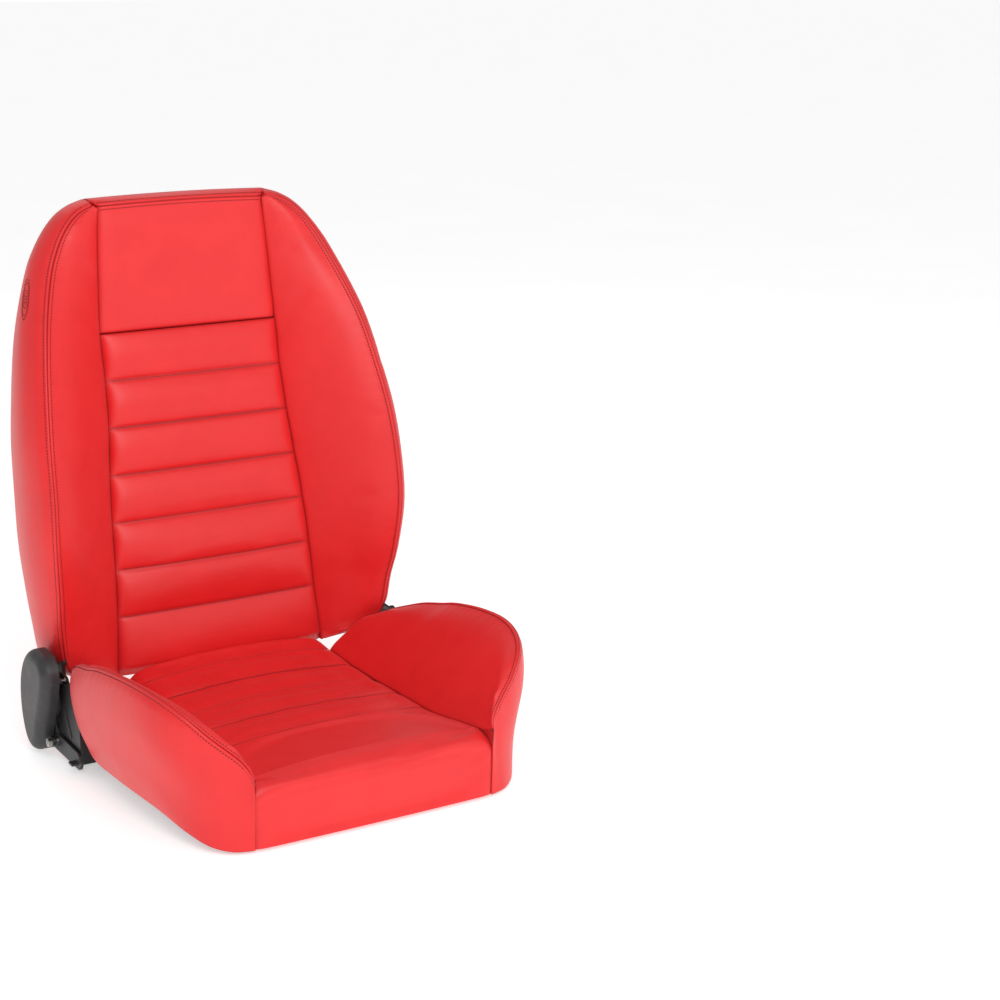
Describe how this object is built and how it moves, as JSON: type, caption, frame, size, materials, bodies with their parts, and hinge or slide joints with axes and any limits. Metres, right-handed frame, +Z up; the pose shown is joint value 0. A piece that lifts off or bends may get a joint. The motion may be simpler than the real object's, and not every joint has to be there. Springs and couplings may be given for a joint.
{
  "type": "reclining sport bucket seat",
  "caption": "Padded bucket seat on a bolt-down steel base, with tall side bolsters, a channelled back with a built-in headrest, and a back that reclines on a side lever.",
  "frame": {"origin": "middle of the four base bolt holes, at the underside of the rails", "axes": "+Z up, the seat faces -Y, +X to the right of someone looking at its front; the recliner lever is on the -X side"},
  "size_m": [0.591, 0.6632, 0.7555],
  "materials": {
    "red_vinyl_over_foam": "satin",
    "red_vinyl_board": "satin",
    "black_powder_coat": "satin",
    "zinc_plated_steel": "satin",
    "grey_phosphated_steel": "satin",
    "spring_steel": "satin",
    "charcoal_abs": "satin",
    "black_felt_cloth": "matte"
  },
  "bodies": {
    "seat_base": {"side_rail_right": "black_powder_coat", "side_rail_left": "black_powder_coat", "mounting_bushes": "zinc_plated_steel", "front_cross_tube": "black_powder_coat", "rear_cross_tube": "black_powder_coat", "side_member_right": "black_powder_coat", "side_member_left": "black_powder_coat", "front_pan": "black_powder_coat", "seat_springs": "spring_steel", "seat_spring_clips": "spring_steel", "underside_cloth": "black_felt_cloth", "cushion_middle_pad": "red_vinyl_over_foam", "cushion_bolster_right": "red_vinyl_over_foam", "cushion_bolster_left": "red_vinyl_over_foam", "recliner_bracket_right": "black_powder_coat", "recliner_bracket_left": "black_powder_coat", "bracket_bolts": "zinc_plated_steel", "pivot_bolt_right": "zinc_plated_steel", "pivot_nut_right": "zinc_plated_steel", "recliner_housing": "grey_phosphated_steel", "lever_bolt": "zinc_plated_steel", "lever_spring": "spring_steel", "recliner_cover": "charcoal_abs", "cover_screws": "zinc_plated_steel"},
    "backrest": {"back_hoop": "black_powder_coat", "back_cross_tube_lower": "black_powder_coat", "back_cross_tube_upper": "black_powder_coat", "back_springs": "spring_steel", "back_spring_clips": "spring_steel", "hinge_arm_right": "black_powder_coat", "hinge_arm_left": "black_powder_coat", "arm_spacers": "zinc_plated_steel", "arm_bolts": "zinc_plated_steel", "back_middle_pad": "red_vinyl_over_foam", "headrest_pad": "red_vinyl_over_foam", "back_bolster_right": "red_vinyl_over_foam", "back_bolster_left": "red_vinyl_over_foam", "back_panel": "red_vinyl_board"},
    "release_lever": {"release_lever": "grey_phosphated_steel", "drive_pin": "zinc_plated_steel"},
    "lock_shaft": {"cam_shaft": "zinc_plated_steel", "lock_cam": "zinc_plated_steel"}
  },
  "joints": [
    {"name": "backrest_recline", "type": "hinge", "parent": "seat_base", "child": "backrest", "pos_m": [0, 0.19, 0.082], "axis": [-1, 0, 0], "range_deg": [-6, 45]},
    {"name": "lever_lift", "type": "hinge", "parent": "seat_base", "child": "release_lever", "pos_m": [-0.2755, 0.172, 0.027], "axis": [-1, 0, 0], "range_deg": [0, 12], "stiffness_Nm_per_rad": 2, "springref_deg": -11.46},
    {"name": "lock_turn", "type": "hinge", "parent": "seat_base", "child": "lock_shaft", "pos_m": [-0.2825, 0.19, 0.082], "axis": [-1, 0, 0], "range_deg": [-8, 0]}
  ],
  "couplings": [
    {"joint": "lock_turn", "follows": "lever_lift", "ratio": -0.56}
  ]
}
